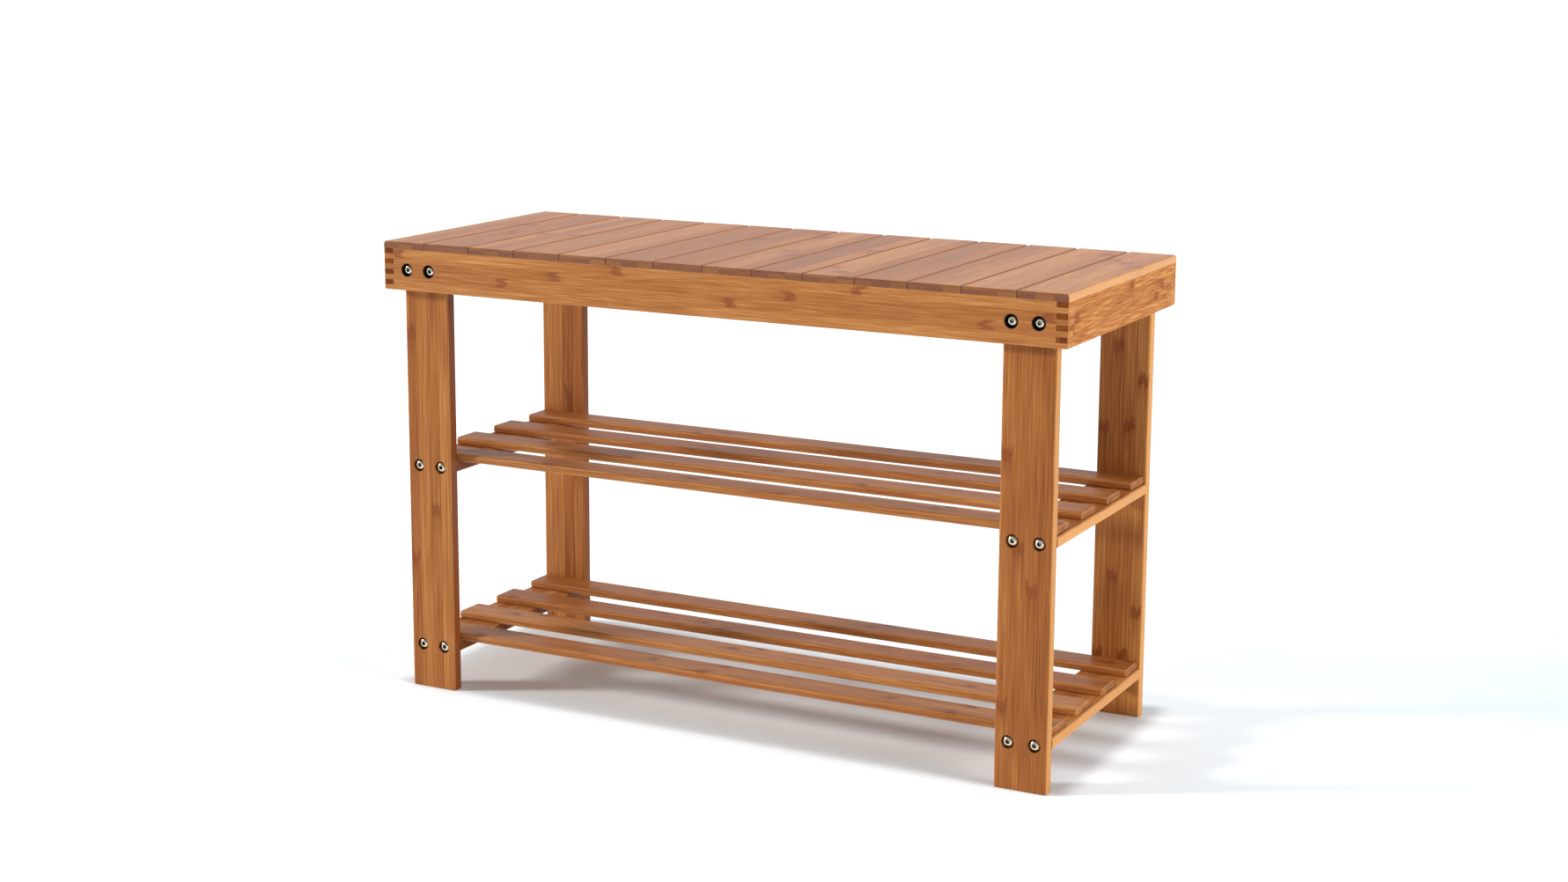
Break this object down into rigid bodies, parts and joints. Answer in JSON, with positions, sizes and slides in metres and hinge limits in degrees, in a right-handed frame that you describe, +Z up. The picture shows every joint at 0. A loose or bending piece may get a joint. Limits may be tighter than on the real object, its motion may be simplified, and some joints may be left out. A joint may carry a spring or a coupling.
{
  "type": "entryway bench",
  "caption": "Bamboo entryway bench with a slatted seat, finger-jointed frame, flat board legs and slatted shoe shelves below, held together by hex socket bolts.",
  "frame": {"origin": "on the floor under the middle of the seat", "axes": "+X along the bench to the right, -Y to the front, +Z up"},
  "size_m": [0.7, 0.28, 0.445],
  "materials": {
    "bamboo": "satin lacquered laminated bamboo",
    "zinc_plated_steel": "bright zinc plate"
  },
  "bodies": {
    "root": {"seat_slat_01": "bamboo", "seat_slat_02": "bamboo", "seat_slat_03": "bamboo", "seat_slat_04": "bamboo", "seat_slat_05": "bamboo", "seat_slat_06": "bamboo", "seat_slat_07": "bamboo", "seat_slat_08": "bamboo", "seat_slat_09": "bamboo", "seat_slat_10": "bamboo", "seat_slat_11": "bamboo", "seat_slat_12": "bamboo", "seat_slat_13": "bamboo", "seat_slat_14": "bamboo", "centre_batten": "bamboo", "front_rail": "bamboo", "back_rail": "bamboo", "left_end_board": "bamboo", "right_end_board": "bamboo", "front_left_leg": "bamboo", "front_right_leg": "bamboo", "back_left_leg": "bamboo", "back_right_leg": "bamboo", "upper_left_cross_rail": "bamboo", "upper_right_cross_rail": "bamboo", "upper_shelf_slat_1": "bamboo", "upper_shelf_slat_2": "bamboo", "upper_shelf_slat_3": "bamboo", "upper_shelf_slat_4": "bamboo", "lower_left_cross_rail": "bamboo", "lower_right_cross_rail": "bamboo", "lower_shelf_slat_1": "bamboo", "lower_shelf_slat_2": "bamboo", "lower_shelf_slat_3": "bamboo", "lower_shelf_slat_4": "bamboo", "front_rail_bolts": "zinc_plated_steel", "back_rail_bolts": "zinc_plated_steel", "upper_shelf_bolts": "zinc_plated_steel", "lower_shelf_bolts": "zinc_plated_steel", "leg_inserts": "zinc_plated_steel", "upper_barrel_nuts": "zinc_plated_steel", "lower_barrel_nuts": "zinc_plated_steel", "upper_shelf_screws": "zinc_plated_steel", "lower_shelf_screws": "zinc_plated_steel", "batten_screws": "zinc_plated_steel"}
  },
  "joints": []
}
